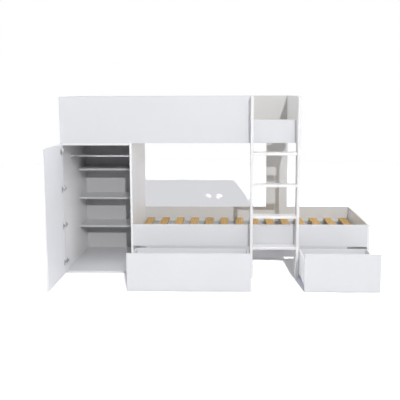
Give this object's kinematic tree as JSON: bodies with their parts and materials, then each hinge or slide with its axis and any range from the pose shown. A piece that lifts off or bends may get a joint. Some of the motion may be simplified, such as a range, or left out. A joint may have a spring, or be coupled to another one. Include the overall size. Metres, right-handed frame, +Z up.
{
  "type": "bunk bed",
  "caption": "White board bunk bed with an open wardrobe under the upper bunk, a straight ladder, slatted bases and roll-out drawers under the offset lower bunk",
  "frame": {"origin": "on the floor, under the middle of the box that holds the bed with its door open and its drawers out", "axes": "+X along the bed from the wardrobe to the foot end, +Y from the front to the wall, +Z up"},
  "size_m": [2.562, 1.54, 1.48],
  "materials": {
    "white_board": "white melamine-faced board, satin",
    "white_ladder_board": "white melamine-faced board, satin",
    "white_thin_board": "white lacquered hardboard",
    "white_batten": "white painted softwood",
    "pine_slats": "planed pine, bare",
    "beech_dowel": "fluted beech",
    "chrome_rail": "polished",
    "hinge_steel": "nickel-plated",
    "bracket_steel": "zinc-plated",
    "grey_wheel_plastic": "moulded",
    "white_cap_plastic": "moulded"
  },
  "bodies": {
    "bed": {"upper_guard": "white_board", "upper_entry_rail": "white_board", "upper_left_end": "white_board", "upper_right_end": "white_board", "upper_back_panel": "white_board", "upper_front_batten": "white_batten", "upper_back_batten": "white_batten", "upper_slats": "pine_slats", "lower_front_rail": "white_board", "lower_right_end": "white_board", "lower_back_left": "white_board", "lower_back_right": "white_board", "lower_front_batten": "white_batten", "lower_back_batten": "white_batten", "lower_slats": "pine_slats", "end_leg_board": "white_board", "rear_leg_board": "white_board", "wardrobe_shelf_1": "white_board", "wardrobe_shelf_2": "white_board", "wardrobe_shelf_3": "white_board", "wardrobe_left_side": "white_board", "wardrobe_right_side": "white_board", "wardrobe_top": "white_board", "wardrobe_bottom": "white_board", "wardrobe_back": "white_thin_board", "shelf_pins": "white_cap_plastic", "clothes_rail": "chrome_rail", "clothes_rail_sockets": "chrome_rail", "hinge_arms": "hinge_steel", "ladder_tread_1": "white_ladder_board", "ladder_tread_2": "white_ladder_board", "ladder_tread_3": "white_ladder_board", "ladder_tread_4": "white_ladder_board", "ladder_left_upright": "white_ladder_board", "ladder_right_upright": "white_ladder_board", "tread_screws": "white_cap_plastic", "ladder_dowels": "beech_dowel"},
    "door": {"wardrobe_door": "white_board", "hinge_cups": "hinge_steel"},
    "left_drawer": {"left_drawer_front": "white_board", "left_drawer_left_side": "white_board", "left_drawer_right_side": "white_board", "left_drawer_back": "white_board", "left_drawer_bottom": "white_thin_board", "left_drawer_wheel_brackets": "bracket_steel"},
    "right_drawer": {"right_drawer_front": "white_board", "right_drawer_left_side": "white_board", "right_drawer_right_side": "white_board", "right_drawer_back": "white_board", "right_drawer_bottom": "white_thin_board", "right_drawer_wheel_brackets": "bracket_steel"},
    "left_drawer_wheel_1": {"left_drawer_wheel_1": "grey_wheel_plastic"},
    "left_drawer_wheel_2": {"left_drawer_wheel_2": "grey_wheel_plastic"},
    "left_drawer_wheel_3": {"left_drawer_wheel_3": "grey_wheel_plastic"},
    "left_drawer_wheel_4": {"left_drawer_wheel_4": "grey_wheel_plastic"},
    "right_drawer_wheel_1": {"right_drawer_wheel_1": "grey_wheel_plastic"},
    "right_drawer_wheel_2": {"right_drawer_wheel_2": "grey_wheel_plastic"},
    "right_drawer_wheel_3": {"right_drawer_wheel_3": "grey_wheel_plastic"},
    "right_drawer_wheel_4": {"right_drawer_wheel_4": "grey_wheel_plastic"}
  },
  "joints": [
    {"name": "wardrobe_door_hinge", "type": "hinge", "parent": "bed", "child": "door", "pos_m": [-1.272, -0.187, 0.55], "axis": [0, 0, 1], "range_deg": [-15, 90]},
    {"name": "left_drawer_slide", "type": "slide", "parent": "bed", "child": "left_drawer", "axis": [0, -1, 0], "range_m": [-0.535, 0.165]},
    {"name": "right_drawer_slide", "type": "slide", "parent": "bed", "child": "right_drawer", "axis": [0, -1, 0], "range_m": [-0.535, 0.165]},
    {"name": "left_drawer_wheel_1_spin", "type": "hinge", "parent": "left_drawer", "child": "left_drawer_wheel_1", "pos_m": [-0.603, -0.643, 0.0175], "axis": [1, 0, 0], "continuous": true},
    {"name": "left_drawer_wheel_2_spin", "type": "hinge", "parent": "left_drawer", "child": "left_drawer_wheel_2", "pos_m": [-0.603, -0.287, 0.0175], "axis": [1, 0, 0], "continuous": true},
    {"name": "left_drawer_wheel_3_spin", "type": "hinge", "parent": "left_drawer", "child": "left_drawer_wheel_3", "pos_m": [0.219, -0.643, 0.0175], "axis": [1, 0, 0], "continuous": true},
    {"name": "left_drawer_wheel_4_spin", "type": "hinge", "parent": "left_drawer", "child": "left_drawer_wheel_4", "pos_m": [0.219, -0.287, 0.0175], "axis": [1, 0, 0], "continuous": true},
    {"name": "right_drawer_wheel_1_spin", "type": "hinge", "parent": "right_drawer", "child": "right_drawer_wheel_1", "pos_m": [0.752, -0.643, 0.0175], "axis": [1, 0, 0], "continuous": true},
    {"name": "right_drawer_wheel_2_spin", "type": "hinge", "parent": "right_drawer", "child": "right_drawer_wheel_2", "pos_m": [0.752, -0.287, 0.0175], "axis": [1, 0, 0], "continuous": true},
    {"name": "right_drawer_wheel_3_spin", "type": "hinge", "parent": "right_drawer", "child": "right_drawer_wheel_3", "pos_m": [1.197, -0.643, 0.0175], "axis": [1, 0, 0], "continuous": true},
    {"name": "right_drawer_wheel_4_spin", "type": "hinge", "parent": "right_drawer", "child": "right_drawer_wheel_4", "pos_m": [1.197, -0.287, 0.0175], "axis": [1, 0, 0], "continuous": true}
  ],
  "couplings": [
    {"joint": "left_drawer_wheel_1_spin", "follows": "left_drawer_slide", "rad_per_m": 57.143},
    {"joint": "left_drawer_wheel_2_spin", "follows": "left_drawer_slide", "rad_per_m": 57.143},
    {"joint": "left_drawer_wheel_3_spin", "follows": "left_drawer_slide", "rad_per_m": 57.143},
    {"joint": "left_drawer_wheel_4_spin", "follows": "left_drawer_slide", "rad_per_m": 57.143},
    {"joint": "right_drawer_wheel_1_spin", "follows": "right_drawer_slide", "rad_per_m": 57.143},
    {"joint": "right_drawer_wheel_2_spin", "follows": "right_drawer_slide", "rad_per_m": 57.143},
    {"joint": "right_drawer_wheel_3_spin", "follows": "right_drawer_slide", "rad_per_m": 57.143},
    {"joint": "right_drawer_wheel_4_spin", "follows": "right_drawer_slide", "rad_per_m": 57.143}
  ]
}
